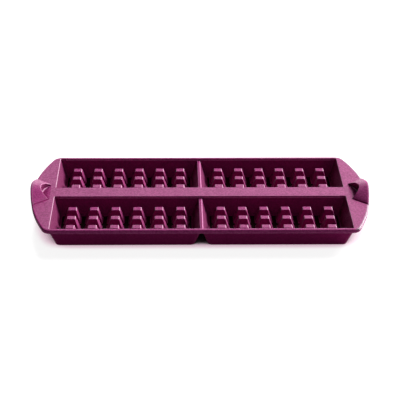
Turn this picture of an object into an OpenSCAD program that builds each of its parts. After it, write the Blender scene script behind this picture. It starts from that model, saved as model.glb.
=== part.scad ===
// Waffle-bar baking mould: four pegged wells, a bowed deck and two arched grips.
// Millimetres, +Z up, +X along the length, +Y to the back row. Z = 0 is the underside.

/* [Wells] */
// Distance between peg centres, both ways
peg_pitch = 22.5; // [19:0.5:28]
// Pegs along a well
peg_cols = 6; // [3:1:8]
// Pegs across a well
peg_rows = 3; // [2:1:5]
// Free floor past the last peg cell at each end
end_margin = 1.5; // [0.5:0.1:6]
// Depth of a well below the deck
well_depth = 19.2; // [16:0.2:26]
// Slope of the walls from upright, in degrees
wall_draft = 20.8; // [14:0.2:26]
// Corner radius of a well at the deck
top_corner_r = 1.4; // [0.8:0.1:4]
// Corner radius of a well at the floor
floor_corner_r = 2.6; // [1.5:0.1:6]
// Thickness of the walls
wall_t = 1.8; // [1.2:0.1:3]
// Thickness of the floors
floor_t = 1.8; // [1.2:0.1:3]

/* [Pegs] */
// Width of a peg's top
peg_top = 8.4; // [6:0.1:12]
// Width of a peg's foot
peg_foot = 17.2; // [14:0.1:18]
// Height of a peg above the floor
peg_h = 13.2; // [8:0.1:15]
// Thickness of a peg's shell
peg_t = 1.8; // [1.2:0.1:2.6]
// Bevel round a peg's top
peg_bevel = 0.5; // [0.3:0.1:1.5]

/* [Deck] */
// Thickness of the deck sheet
deck_t = 2.2; // [1.6:0.1:3]
// Width of the web between the rows
web_w = 23; // [16:0.5:32]
// Width of the front and back rims
rim_w = 4; // [3.6:0.1:8]
// Gap between left and right wells, carried up to the deck
ridge_gap = 1.6; // [1:0.1:4]
// Height of the ridge cap between left and right wells
ridge_h = 6; // [4:0.5:9]
// Reach of the end flanges past the wells
end_reach = 24.2; // [21:0.2:30]
// Radius of the bowed ends
bow_r = 252; // [200:1:340]
// Radius of the deck's corners
deck_corner_r = 10; // [6:0.5:14]
// Height of the turned-down edge, deck included
lip_h = 4.2; // [3.4:0.1:6]
// Width of the turned-down edge
lip_w = 2; // [1.4:0.1:2.2]

/* [Grips] */
// Distance of a grip's step from the wells
mouth_back = 4.9; // [3:0.1:7]
// Half width of the step
mouth_half = 20; // [14:0.1:26]
// Reach of the step's curve in plan
mouth_bow = 9.8; // [7:0.1:11]
// Rise of the step's top above the deck
mouth_rise = 6.9; // [5:0.1:10]
// Half width of the grip at the outer edge
brim_half = 35.5; // [30:0.5:44]
// Rise of the grip at the outer edge
brim_rise = 9.1; // [5:0.1:11]
// Reach of the grip past the bowed end
brim_bow = 1.0; // [0:0.1:2]
// Depth of the thumb dip at the foot of the step
thumb_dip = 3.4; // [1:0.1:5]
// Thickness of the step's wall
step_t = 2.2; // [1.6:0.1:3]

/* [Hidden] */
$fn = 32;
draft = tan(wall_draft);
tray_h = well_depth + floor_t;
deck_z = tray_h - deck_t;
floor_l = peg_cols * peg_pitch + 2 * end_margin;
floor_w = peg_rows * peg_pitch;
well_l = floor_l + 2 * well_depth * draft;
well_w = floor_w + 2 * well_depth * draft;
well_x = (ridge_gap + well_l) / 2;
well_y = (web_w + well_w) / 2;
well_end = ridge_gap / 2 + well_l;
well_side = web_w / 2 + well_w;
side_t = wall_t / cos(wall_draft);
deck_half = well_side + rim_w;
deck_end = well_end + end_reach;
split_x = well_end - 6;
ridge_z = deck_z - ridge_h;
ridge_half = ridge_gap / 2 + (tray_h - ridge_z) * draft + 1;
bow_x = deck_end - bow_r;
mouth_x = well_end + mouth_back;
brim_x = bow_x + sqrt(bow_r * bow_r - brim_half * brim_half);
tip_a = 75;
crest_share = 0.28;
foot_share = 0.1;
over = 2;
silicone = [0.45, 0.10, 0.28];
deck_tone = [0.55, 0.20, 0.40];

// Plan outline of the deck, moved in by d, as points
function bow_at(y) = bow_x + sqrt(bow_r * bow_r - y * y);
function quarter(d) =
    let (r = bow_r - d, c = deck_corner_r - d, cy = deck_half - deck_corner_r,
         cx = bow_x + sqrt(pow(bow_r - deck_corner_r, 2) - cy * cy),
         a = asin(cy / (bow_r - deck_corner_r)))
    concat([for (i = [0 : 12]) [bow_x + r * cos(a * i / 12), r * sin(a * i / 12)]],
           [for (i = [1 : 8]) let (b = a + (90 - a) * i / 8) [cx + c * cos(b), cy + c * sin(b)]]);
function turned(q) = [for (i = [len(q) - 1 : -1 : 0]) q[i]];
function outline(d) =
    let (q = quarter(d), n = len(q) - 1)
    concat(q, [for (i = [n : -1 : 0]) [-q[i][0], q[i][1]]],
           [for (i = [1 : n]) [-q[i][0], -q[i][1]]], [for (i = [n : -1 : 1]) [q[i][0], -q[i][1]]]);

// Share of the step's rise at angle a: a plain arch
function step_arch(a) = pow(max(cos(a), 0), 1.6);

// Share of the outer edge's rise at angle a: a round crest, straight slopes and a short steep foot
function brim_arch(a) =
    let (v = abs(sin(a)), w = crest_share, slope = (sqrt(v * v + w * w) - w) / (sqrt(1 + w * w) - w))
    (1 - foot_share) * (1 - slope) + foot_share * sqrt(max(1 - pow(v, 12), 0));

// Plan curve of the step at angle a
function step_x(a) = mouth_x + mouth_bow * pow(max(cos(a), 0), 1.66);

// Grip surface: u runs from the step to the outer edge, a from -90 to 90 degrees across
function grip_point(u, a, drop) =
    let (v = sin(a), half = mouth_half + (brim_half - mouth_half) * u,
         xm = step_x(a),
         xo = bow_at(brim_half * v) + brim_bow * (1 - v * v),
         rise = mouth_rise * step_arch(a) * (1 - u) + brim_rise * brim_arch(a) * u)
    [xm + (xo - xm) * u, v * half, tray_h + rise - drop];

// Plan distance from the step to the outer edge at angle a
function grip_run(a) =
    let (p = grip_point(0, a, 0), q = grip_point(1, a, 0))
    norm([q[0] - p[0], q[1] - p[1]]);

// Places across a grip at angle a: the step's wall, the hollow behind it and the turned-down edge
function grip_places(a) =
    let (run = grip_run(a), wall = step_t / run, edge = 1 - 1.3 * lip_w / run, ease = 0.2 / run)
    [0, wall, wall + ease, wall + (edge - wall) * 0.35, wall + (edge - wall) * 0.7, edge - ease, edge, 1];

// Underside of a grip at place i of grip_places
function grip_under(i, u, a) =
    let (p = grip_point(u, a, i > 5 ? lip_h : deck_t))
    [p[0], p[1], i < 2 ? tray_h - thumb_dip * cos(a) - deck_t : p[2]];

// Dip surface: u runs from the straight root to the step's curve
function dip_point(u, a, drop) =
    [mouth_x + (step_x(a) - mouth_x) * u, mouth_half * sin(a), tray_h - thumb_dip * cos(a) * u * u - drop];

// Closed skin between a top grid and a bottom grid of the same size
function skin_faces(n, m) =
    let (k = (n + 1) * (m + 1))
    concat([for (i = [0 : n - 1], j = [0 : m - 1], t = [0, 1])
                let (p = i * (m + 1) + j, q = p + m + 1) t == 0 ? [p, p + 1, q + 1] : [p, q + 1, q]],
           [for (i = [0 : n - 1], j = [0 : m - 1], t = [0, 1])
                let (p = k + i * (m + 1) + j, q = p + m + 1) t == 0 ? [p, q + 1, p + 1] : [p, q, q + 1]],
           [for (i = [0 : n - 1], t = [0, 1])
                let (p = i * (m + 1), q = p + m + 1) t == 0 ? [p, q, k + q] : [p, k + q, k + p]],
           [for (i = [0 : n - 1], t = [0, 1])
                let (p = i * (m + 1) + m, q = p + m + 1) t == 0 ? [p, k + q, q] : [p, k + p, k + q]],
           [for (j = [0 : m - 1], t = [0, 1]) t == 0 ? [j, k + j + 1, j + 1] : [j, k + j, k + j + 1]],
           [for (j = [0 : m - 1], t = [0, 1])
                let (p = n * (m + 1) + j) t == 0 ? [p, p + 1, k + p + 1] : [p, k + p + 1, k + p]]);

// Sloped block with rounded corners: the room inside a well, grown by g on every side
module well_form(length, g) {
    low = -over;
    high = tray_h + over;
    hull() {
        for (z = [low, high]) {
            grow = g + (z - floor_t) * draft;
            r = z == low ? floor_corner_r + g : top_corner_r + g;
            for (sx = [-1, 1], sy = [-1, 1]) {
                translate([sx * (length / 2 + grow - r), sy * (floor_w / 2 + grow - r), z])
                    cylinder(h = 0.01, r = r);
            }
        }
    }
}

module well_room(sx, sy) {
    translate([sx * well_x, sy * well_y, 0])
        well_form(floor_l, 0);
}

module well_block(sx, sy) {
    translate([sx * well_x, sy * well_y, 0])
        well_form(floor_l, side_t);
}

// Room over both wells of a row, for the deck's opening
module row_room(sy) {
    translate([0, sy * well_y, 0])
        well_form(2 * well_end - (well_l - floor_l), 0);
}

module ridge_zone(sy) {
    translate([-ridge_half, sy * well_y - well_w / 2 - over - side_t, ridge_z])
        cube([2 * ridge_half, well_w + 2 * over + 2 * side_t, ridge_h]);
}

module well(sx, sy) {
    color(silicone)
        difference() {
            intersection() {
                well_block(sx, sy);
                translate([sx * well_x - well_l, sy * well_y - well_w, 0])
                    cube([2 * well_l, 2 * well_w, deck_z]);
            }
            well_room(sx, sy);
            ridge_zone(sy);
        }
}

module ridge(sy) {
    color(silicone)
        difference() {
            intersection() {
                union() {
                    well_block(-1, sy);
                    well_block(1, sy);
                }
                ridge_zone(sy);
            }
            well_room(-1, sy);
            well_room(1, sy);
        }
}

// Square block tapering upward by the peg's slope, with its top bevelled
module taper(low, high, low_half, high_half, bevel) {
    side = [[-low_half, low], [low_half, low], [high_half, high - bevel], [high_half - bevel, high],
            [bevel - high_half, high], [-high_half, high - bevel]];
    intersection() {
        rotate([90, 0, 0])
            linear_extrude(height = 4 * low_half, center = true)
                polygon(side);
        rotate([90, 0, 90])
            linear_extrude(height = 4 * low_half, center = true)
                polygon(side);
    }
}

peg_slope = (peg_foot - peg_top) / 2 / peg_h;
bore_top = peg_top / 2 + peg_t * peg_slope - peg_t * sqrt(1 + peg_slope * peg_slope);
bore_foot = bore_top + (peg_h - peg_t + floor_t + over) * peg_slope;

module peg_bore() {
    taper(-over, floor_t + peg_h - peg_t, bore_foot, bore_top, 0.3);
}

module peg_places(sx, sy) {
    for (i = [0 : peg_cols - 1], j = [0 : peg_rows - 1]) {
        translate([sx * well_x + (i - (peg_cols - 1) / 2) * peg_pitch,
                   sy * well_y + (j - (peg_rows - 1) / 2) * peg_pitch, 0])
            children();
    }
}

module pegs(sx, sy) {
    color(deck_tone)
        peg_places(sx, sy)
            difference() {
                taper(floor_t, floor_t + peg_h, peg_foot / 2, peg_top / 2, peg_bevel);
                peg_bore();
            }
}

module well_floor(sx, sy) {
    color(silicone)
        difference() {
            intersection() {
                well_room(sx, sy);
                translate([sx * well_x - well_l, sy * well_y - well_w, 0])
                    cube([2 * well_l, 2 * well_w, floor_t]);
            }
            peg_places(sx, sy)
                peg_bore();
        }
}

// Plan cut in an end flange for the grip and its thumb dip
module grip_cut(sx) {
    far = 2 * end_reach;
    lean = (brim_half - mouth_half) / (brim_x - mouth_x);
    tip = [for (a = [tip_a : 5 : 90]) [step_x(a), mouth_half * sin(a)]];
    half = concat([[mouth_x, tip[0][1]]], tip, [[mouth_x + far, mouth_half + far * lean]]);
    translate([0, 0, -over])
        linear_extrude(height = tray_h + 2 * over)
            polygon(concat([for (p = half) [sx * p[0], p[1]]],
                           [for (i = [len(half) - 1 : -1 : 0]) [sx * half[i][0], -half[i][1]]]));
}

module deck_zone(low, size) {
    color(deck_tone)
        difference() {
            intersection() {
                translate([0, 0, deck_z])
                    linear_extrude(height = deck_t)
                        polygon(outline(0));
                translate(low)
                    cube(size);
            }
            row_room(-1);
            row_room(1);
            grip_cut(-1);
            grip_cut(1);
        }
}

module front_rim() {
    deck_zone([-split_x, -deck_half - over, 0], [2 * split_x, deck_half + over - well_y, 2 * tray_h]);
}

module back_rim() {
    deck_zone([-split_x, well_y, 0], [2 * split_x, deck_half + over - well_y, 2 * tray_h]);
}

module centre_web() {
    deck_zone([-split_x, -well_y, 0], [2 * split_x, 2 * well_y, 2 * tray_h]);
}

module left_flange() {
    deck_zone([-2 * deck_end, -deck_half - over, 0], [2 * deck_end - split_x, 2 * deck_half + 2 * over, 2 * tray_h]);
}

module right_flange() {
    deck_zone([split_x, -deck_half - over, 0], [2 * deck_end - split_x, 2 * deck_half + 2 * over, 2 * tray_h]);
}

module lip(sy) {
    color(deck_tone)
        difference() {
            translate([0, 0, tray_h - lip_h])
                linear_extrude(height = lip_h - deck_t)
                    difference() {
                        polygon(outline(0));
                        polygon(outline(lip_w));
                    }
            translate([-2 * deck_end, sy > 0 ? -2 * deck_half : 0, -over])
                cube([4 * deck_end, 2 * deck_half, 2 * tray_h]);
            grip_cut(-1);
            grip_cut(1);
        }
}

module front_lip() {
    lip(-1);
}

module back_lip() {
    lip(1);
}

// Arched grip: a lofted hood, the step's wall down to the thumb dip, and the turned-down outer edge
module grip(sx) {
    n = 7;
    m = 36;
    top = [for (i = [0 : n], j = [0 : m]) let (a = -90 + 180 * j / m) grip_point(grip_places(a)[i], a, 0)];
    low = [for (i = [0 : n], j = [0 : m]) let (a = -90 + 180 * j / m) grip_under(i, grip_places(a)[i], a)];
    color(deck_tone)
        mirror([sx < 0 ? 1 : 0, 0, 0])
            polyhedron(points = concat(top, low), faces = skin_faces(n, m));
}

module left_grip() {
    grip(-1);
}

module right_grip() {
    grip(1);
}

module thumb_tongue(sx) {
    n = 6;
    m = 30;
    top = [for (i = [0 : n], j = [0 : m]) dip_point(i / n, tip_a * (2 * j / m - 1), 0)];
    low = [for (i = [0 : n], j = [0 : m]) dip_point(i / n, tip_a * (2 * j / m - 1), deck_t)];
    color(deck_tone)
        mirror([sx < 0 ? 1 : 0, 0, 0])
            polyhedron(points = concat(top, low), faces = skin_faces(n, m));
}

module left_thumb_dip() {
    thumb_tongue(-1);
}

module right_thumb_dip() {
    thumb_tongue(1);
}

module front_left_well() {
    well(-1, -1);
}

module front_right_well() {
    well(1, -1);
}

module back_left_well() {
    well(-1, 1);
}

module back_right_well() {
    well(1, 1);
}

module front_left_floor() {
    well_floor(-1, -1);
}

module front_right_floor() {
    well_floor(1, -1);
}

module back_left_floor() {
    well_floor(-1, 1);
}

module back_right_floor() {
    well_floor(1, 1);
}

module front_left_pegs() {
    pegs(-1, -1);
}

module front_right_pegs() {
    pegs(1, -1);
}

module back_left_pegs() {
    pegs(-1, 1);
}

module back_right_pegs() {
    pegs(1, 1);
}

module front_ridge() {
    ridge(-1);
}

module back_ridge() {
    ridge(1);
}

front_rim();
back_rim();
centre_web();
left_flange();
right_flange();
front_lip();
back_lip();
left_grip();
right_grip();
left_thumb_dip();
right_thumb_dip();
front_left_well();
front_right_well();
back_left_well();
back_right_well();
front_left_floor();
front_right_floor();
back_left_floor();
back_right_floor();
front_left_pegs();
front_right_pegs();
back_left_pegs();
back_right_pegs();
front_ridge();
back_ridge();
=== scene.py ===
"""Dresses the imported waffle-bar mould: filleted silicone skins, a pale floor, soft light and a camera."""
import math

import bmesh
import bpy
from bpy.props import FloatProperty, FloatVectorProperty, IntProperty, PointerProperty
from mathutils import Matrix, Vector
from mathutils.geometry import tessellate_polygon


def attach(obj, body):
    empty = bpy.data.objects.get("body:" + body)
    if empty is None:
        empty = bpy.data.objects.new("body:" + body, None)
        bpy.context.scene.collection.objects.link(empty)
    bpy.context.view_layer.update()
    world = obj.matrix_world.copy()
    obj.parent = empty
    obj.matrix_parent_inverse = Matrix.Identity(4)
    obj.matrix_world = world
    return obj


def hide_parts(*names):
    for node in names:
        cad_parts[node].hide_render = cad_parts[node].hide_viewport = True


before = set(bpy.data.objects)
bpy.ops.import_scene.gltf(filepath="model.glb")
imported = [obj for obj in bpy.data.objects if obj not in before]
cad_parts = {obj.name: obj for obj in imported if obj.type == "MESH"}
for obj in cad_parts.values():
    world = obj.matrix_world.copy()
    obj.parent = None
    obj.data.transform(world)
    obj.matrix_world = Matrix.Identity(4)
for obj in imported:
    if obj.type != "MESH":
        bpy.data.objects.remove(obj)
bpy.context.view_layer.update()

bl_info = {
    "name": "Waffle-bar mould",
    "version": (1, 0, 0),
    "blender": (4, 5, 0),
    "location": "View3D > Sidebar > Mould",
    "description": "Builds the skins, silicone and studio of a pegged baking mould",
    "category": "Object",
}

BODY = "root"
MM = 0.001

# Counts of points along the round stretches
CORNER_STEPS = 5
EDGE_STEPS = 5
PEG_CORNER_STEPS = 4
BOW_STEPS = 20
DECK_CORNER_STEPS = 10
HOOD_STEPS = 5
DIP_STEPS = 9
GRIP_COLUMNS = 60
DIP_COLUMNS = 48

# Angles and limits that tell edges and faces apart
SHARP_DEG = 34
BEND_DEG = 3
DIP_LIMIT_DEG = 84
FLAT_NZ = 0.985
SIDEWAYS_NX = 0.6
NARROW = 0.7 * MM
PARALLEL = 1e-4

# Small lengths that follow from the way the skins are built
FAR = 9 * MM
SPLIT_BACK = 6 * MM
LEAST_CORNER = 0.4 * MM
SEAM_STEPS = (0.15 * MM, 0.4 * MM, 0.6 * MM)
HOLLOW_BEVEL = 0.4 * MM
HOLLOW_RISE = 0.3 * MM
HOOD_FOOT_H = 0.8 * MM
BORE_BEVEL = 0.5 * MM
BORE_CORNER = 0.9 * MM
WELL_GAP = 0.15 * MM
BORE_CORNERS_MM = (0.4, 0.6, 0.9)
PEG_FOOT_CORNER_MM = 0.9
PEG_TOP_CORNER_MM = 0.7
LEAST_PEG_CORNER_MM = 0.2
RIDGE_R = 1.3 * MM
RIDGE_SHORT = 0.3 * MM

# Shares and powers of the curves
EDGE_MARGIN = 1.05
SLOPE_SHARES = (0, 0.1, 0.2, 0.3, 0.4)
STEP_PLAN_POWER = 1.66
STEP_ARCH_POWER = 1.6
CREST_SHARE = 0.28
FOOT_SHARE = 0.1
FOOT_POWER = 12
INNER_BEAD = 0.6
HOLLOW_BEAD = 0.5
HOLLOW_INSET = 1.3
HOLLOW_SHARES = (0.8, 0.6, 0.4, 0.2)

# Pattern of the silicone: clouds, flecks and tool grain
CLOUD_SCALE, FLECK_SCALE = 42, 540
FLECK_SHARE = 0.75
FLECK_FROM, FLECK_TO = 0.42, 0.58
GLOSS_FROM, GLOSS_TO = 0.3, 0.7
GRAIN_HEIGHT = 0.2 * MM
SILICONE_IOR = 1.45

# Floor of the studio, and where its painted shadow, painted pink bounce and clear white begin
FLOOR_SIZE = 6
FLOOR_GLOW = 0.89
FLOOR_REACH = 0.05
SHADOW_AT, BOUNCE_TINT_AT, CLEAR_AT = 0.14, 0.28, 0.55

# Camera fitted to the photograph, whose frame is PHOTO_PX wide
PHOTO_PX = 400
FOCAL_PX = 1550.4
SENSOR_MM = 36
CAMERA_TILT, CAMERA_TURN, CAMERA_ROLL = 23.5755, -1.144, -0.315
CAMERA_X, CAMERA_Y, CAMERA_ABOVE_DECK = -0.0301, -1.5088, 0.6489


def length(label, note, default_mm):
    """A size property in metres, written here in millimetres"""
    return FloatProperty(name=label, description=note, default=default_mm * MM, precision=5, unit="LENGTH")


def tint(label, note, default):
    """A colour property"""
    return FloatVectorProperty(name=label, description=note, default=default, size=3, min=0, max=1,
                               subtype="COLOR")


class MouldSizes(bpy.types.PropertyGroup):
    """Sizes of the mould, the same as in its solids, and the fillets of its skins"""
    peg_cols: IntProperty(name="Pegs along", description="Pegs along a well", default=6, min=1)
    peg_rows: IntProperty(name="Pegs across", description="Pegs across a well", default=3, min=1)
    peg_pitch: length("Peg pitch", "Distance between peg centres", 22.5)
    end_margin: length("End margin", "Free floor past the last peg cell", 1.5)
    well_depth: length("Well depth", "Depth of a well below the deck", 19.2)
    wall_draft: FloatProperty(name="Wall draft", description="Slope of the walls from upright",
                              default=math.radians(20.8), subtype="ANGLE")
    top_corner: length("Well corner", "Corner radius of a well at the deck", 1.4)
    floor_corner: length("Floor corner", "Corner radius of a well at the floor", 2.6)
    corner_span: length("Corner overrun", "How far past floor and deck the corner radii are set", 2.0)
    wall_t: length("Wall", "Thickness of the walls", 1.8)
    floor_t: length("Floor", "Thickness of the floors", 1.8)
    peg_top: length("Peg top", "Width of a peg's top", 8.4)
    peg_foot: length("Peg foot", "Width of a peg's foot", 17.2)
    peg_h: length("Peg height", "Height of a peg above the floor", 13.2)
    peg_t: length("Peg shell", "Thickness of a peg's shell", 1.8)
    deck_t: length("Deck", "Thickness of the deck sheet", 2.2)
    web_w: length("Web", "Width of the web between the rows", 23.0)
    rim_w: length("Rim", "Width of the front and back rims", 4.0)
    ridge_gap: length("Ridge gap", "Gap between left and right wells at the deck", 1.6)
    ridge_cap: length("Ridge cap", "Height of the modelled ridge cap", 1.8)
    end_reach: length("End reach", "Reach of the end flanges past the wells", 24.2)
    bow_r: length("Bow", "Radius of the bowed ends", 252.0)
    deck_corner: length("Deck corner", "Radius of the deck's corners", 10.0)
    lip_h: length("Lip height", "Height of the turned-down edge", 4.2)
    lip_w: length("Lip width", "Width of the turned-down edge", 2.0)
    step_back: length("Step setback", "Distance of a grip's step from the wells", 4.9)
    step_half: length("Step half width", "Half width of the step", 20.0)
    step_bow: length("Step bow", "Reach of the step's curve in plan", 9.8)
    step_rise: length("Step rise", "Rise of the step's top above the deck", 6.9)
    step_t: length("Step wall", "Thickness of the step's wall", 2.2)
    brim_half: length("Brim half width", "Half width of the grip at the outer edge", 35.5)
    brim_rise: length("Brim rise", "Rise of the grip at the outer edge", 9.1)
    brim_bow: length("Brim bow", "Reach of the grip past the bowed end", 1.0)
    thumb_dip: length("Thumb dip", "Depth of the thumb dip at the foot of the step", 3.4)
    edge_w: length("Outer edge width", "Width of the rounding along the deck's outer edge", 2.0)
    edge_h: length("Outer edge height", "Height of the rounding along the deck's outer edge", 1.2)
    seam_drop: length("Seam drop", "Drop of the parting seam below the deck's top", 1.25)
    seam_depth: length("Seam depth", "Depth of the parting seam round the outer edge", 0.3)
    step_edge_r: length("Step edge", "Fillet along the top of a grip's step", 0.8)
    step_foot_r: length("Step foot", "Fillet between the thumb dip and the step", 2.10)
    wall_foot_r: length("Wall foot", "Fillet under the outside of a well", 1.0)
    well_edge_r: length("Well edge", "Fillet where the deck turns into a well", 0.8)
    floor_r: length("Floor fillet", "Fillet between walls and floor", 2.0)
    # The band beside the deck's edges takes the painted edge highlight
    band_w: length("Highlit band", "Width of the rubbed band beside the deck's edges", 0.6)
    peg_top_r: length("Peg top fillet", "Fillet round a peg's top", 0.9)
    peg_foot_r: length("Peg foot fillet", "Fillet round a peg's foot", 0.8)
    bead_r: length("Bead", "Fillet along the lower side of the lip", 0.9)


class MouldFinish(bpy.types.PropertyGroup):
    """Colours of the silicone and the stage; darker and paler copies of the silicone paint shade and
    highlights onto the mould
    """
    plum: tint("Plum", "Body colour of the silicone", (0.280, 0.0010, 0.132))
    plum_light: tint("Light plum", "Paler cloud in the silicone", (0.480, 0.0320, 0.243))
    # Darker copies of the body colour for the insides of the wells: painted shade
    well_shade_plum: tint("Well plum", "Deep colour of the silicone inside the wells", (0.235, 0.0035, 0.100))
    well_shade_plum_light: tint("Pale well plum", "Cloudy paler colour inside the wells", (0.315, 0.0060, 0.138))
    # Paler tones along the deck's outer edge and the lip's face: painted highlight
    brink_highlight_plum: tint("Outer edge", "Deep tone of the deck's outer edge", (0.540, 0.050, 0.275))
    brink_highlight_plum_light: tint("Outer edge, pale", "Pale tone of the deck's outer edge", (0.650, 0.095, 0.355))
    # Greyer, glossier tones for the outer edge at the right-hand end, which faces the lamp: painted highlight
    lamp_side_edge_plum: tint("Lamp-side edge", "Deep tone of the outer edge round the right-hand end",
                     (0.290, 0.075, 0.185))
    lamp_side_edge_plum_light: tint("Lamp-side edge, pale", "Pale tone of the outer edge round the right-hand end",
                           (0.350, 0.105, 0.235))
    outer_plum: tint("Outer plum", "Colour of the skin under the deck", (0.345, 0.0060, 0.134))
    outer_plum_light: tint("Pale outer plum", "Cloudy paler colour of the skin under the deck",
                           (0.415, 0.0090, 0.164))
    # Paler copies for the pegs' right-hand flanks, which face the lamp: painted light
    lamp_side_flank_plum: tint("Flank plum", "Colour of the pegs' right-hand flanks", (0.290, 0.0170, 0.135))
    lamp_side_flank_plum_light: tint("Pale flank plum", "Cloudy paler colour of the pegs' right-hand flanks",
                           (0.385, 0.0280, 0.185))
    # Darker copies for the wells' end walls, the pegs' left-hand flanks and the grips' steps: painted shade
    end_shade_plum: tint("End plum", "Colour of the wells' end walls", (0.168, 0.0070, 0.074))
    end_shade_plum_light: tint("Pale end plum", "Cloudy paler colour of the wells' end walls",
                         (0.222, 0.0140, 0.102))
    # Palest tones, for the pegs' side edges, the wells' edges at the flanges and the feet of the steps:
    # painted highlight
    strong_highlight_plum: tint("Highlighted plum", "Colour of the most highlighted edges", (0.600, 0.270, 0.440))
    strong_highlight_plum_light: tint("Pale highlighted plum", "Cloudy paler colour of the most highlighted edges",
                          (0.660, 0.330, 0.500))
    # Paler tones for the rounded edges of the deck, ridges and steps: painted highlight
    edge_highlight_plum: tint("Edge plum", "Colour of the rubbed edges", (0.500, 0.080, 0.295))
    edge_highlight_plum_light: tint("Pale edge plum", "Cloudy paler colour of the rubbed edges",
                          (0.560, 0.120, 0.345))
    # Near-black tones for the well floors between the pegs: painted shade
    pit_shade_plum: tint("Pit plum", "Colour of the well floors between the pegs", (0.015, 0.0002, 0.002))
    pit_shade_plum_light: tint("Pale pit plum", "Cloudy paler colour of the well floors", (0.024, 0.0004, 0.004))
    floor_tone: tint("Floor", "Colour of the studio floor", (0.34, 0.34, 0.34))
    # Pink bounce light from the mould, painted on the floor close to it
    floor_bounce_tint: tint("Floor fringe", "Tinge of the floor close to the mould", (0.76, 0.55, 0.65))


class Form:
    """Derived sizes of the mould, in metres"""

    def __init__(self, s):
        self.s = s
        self.draft = math.tan(s.wall_draft)
        self.top = s.well_depth + s.floor_t
        self.deck_z = self.top - s.deck_t
        self.floor_l = s.peg_cols * s.peg_pitch + 2 * s.end_margin
        self.floor_w = s.peg_rows * s.peg_pitch
        self.well_l = self.floor_l + 2 * s.well_depth * self.draft
        self.well_w = self.floor_w + 2 * s.well_depth * self.draft
        self.well_x = (s.ridge_gap + self.well_l) / 2
        self.well_y = (s.web_w + self.well_w) / 2
        self.well_end = s.ridge_gap / 2 + self.well_l
        self.well_side = s.web_w / 2 + self.well_w
        self.side_t = s.wall_t / math.cos(s.wall_draft)
        self.deck_half = self.well_side + s.rim_w
        self.deck_end = self.well_end + s.end_reach
        self.split_x = self.well_end - SPLIT_BACK
        self.bow_x = self.deck_end - s.bow_r
        self.step_x = self.well_end + s.step_back
        self.lean = s.deck_t * self.draft
        self.peg_slope = (s.peg_foot - s.peg_top) / 2 / s.peg_h
        self.bore_top = s.peg_top / 2 + s.peg_t * self.peg_slope - s.peg_t * math.hypot(1, self.peg_slope)

    def bow_at(self, y):
        """Where the bowed end stands at y"""
        return self.bow_x + math.sqrt(self.s.bow_r ** 2 - y * y)

    def inside_edge(self, x, y):
        """Distance inwards from the deck's outline"""
        r = self.s.deck_corner
        cy = self.deck_half - r
        cx = self.bow_x + math.sqrt((self.s.bow_r - r) ** 2 - cy * cy)
        x, y = abs(x), abs(y)
        if y > cy and (y - cy) * (cx - self.bow_x) > (x - cx) * cy and x > cx:
            return r - math.hypot(x - cx, y - cy)
        return min(self.deck_half - y, self.s.bow_r - math.hypot(x - self.bow_x, y))

    def brink(self, face):
        """True on the faces of the deck's rounded outer edge and of its side"""
        at = face.calc_center_median()
        return self.inside_edge(at.x, at.y) < EDGE_MARGIN * self.s.edge_w and -0.6 < face.normal.z < 0.9999

    def lamp_side_brink(self, face):
        """True where the outer edge looks out past the right-hand end, towards the lamp; these faces get a
        painted highlight
        """
        return self.brink(face) and face.normal.x > 0.5 * abs(face.normal.y)

    def step_at(self, angle):
        """Plan curve of a grip's step at an angle"""
        return self.step_x + self.s.step_bow * max(math.cos(angle), 0) ** STEP_PLAN_POWER

    def bore_at(self, z):
        """Half width of a peg's hollow at height z"""
        return self.bore_top + (self.s.floor_t + self.s.peg_h - self.s.peg_t - z) * self.peg_slope

    def wall_at(self, z):
        """How far a well's inner wall stands out from its floor rectangle at height z"""
        return (z - self.s.floor_t) * self.draft

    def corner_at(self, z, spread):
        """Corner radius of a loop at height z that stands out by spread"""
        s = self.s
        span = self.top + 2 * s.corner_span
        r = s.floor_corner + (s.top_corner - s.floor_corner) * (z + s.corner_span) / span
        return max(r + spread - self.wall_at(z), LEAST_CORNER)


def form():
    """Sizes worked out from the scene's properties"""
    return Form(bpy.context.scene.mould_sizes)


def arc(a, b, c, r, steps):
    """Points of the fillet of radius r at corner b of the path a, b, c"""
    a, b, c = Vector(a), Vector(b), Vector(c)
    u, w = (a - b).normalized(), (c - b).normalized()
    half = u.angle(w) / 2
    centre = b + (u + w).normalized() * (r / math.sin(half))
    p, q = b + u * (r / math.tan(half)) - centre, b + w * (r / math.tan(half)) - centre
    start = math.atan2(p.y, p.x)
    turn = math.remainder(math.atan2(q.y, q.x) - start, 2 * math.pi)
    angles = [start + turn * i / steps for i in range(steps + 1)]
    return [(centre.x + r * math.cos(angle), centre.y + r * math.sin(angle)) for angle in angles]


def round_rect(x, y, half_x, half_y, r, z, steps=CORNER_STEPS):
    """Loop of a rounded rectangle, anticlockwise from its right side"""
    loop = []
    for sx, sy, start in ((1, 1, 0), (-1, 1, 90), (-1, -1, 180), (1, -1, 270)):
        for i in range(steps + 1):
            a = math.radians(start + 90 * i / steps)
            loop.append((x + sx * (half_x - r) + r * math.cos(a), y + sy * (half_y - r) + r * math.sin(a), z))
    return loop


def rows_to_faces(bm, rows, wrap_rows, wrap_cols):
    """Quads between rows of points that all have the same count"""
    grid = [[bm.verts.new(p) for p in row] for row in rows]
    n, m = len(grid), len(grid[0])
    for i in range(n if wrap_rows else n - 1):
        for j in range(m if wrap_cols else m - 1):
            up, along = (i + 1) % n, (j + 1) % m
            bm.faces.new((grid[i][j], grid[i][along], grid[up][along], grid[up][j]))
    return grid


def tube(bm, loops):
    """Closed skin through a stack of loops, capped at both ends"""
    grid = rows_to_faces(bm, loops, False, True)
    bm.faces.new(grid[0])
    bm.faces.new(grid[-1])


def sweep(bm, rows):
    """Closed skin through profile rows that wrap round, capped where the path ends"""
    grid = rows_to_faces(bm, rows, True, False)
    bm.faces.new([row[0] for row in grid])
    bm.faces.new([row[-1] for row in grid])


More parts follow.
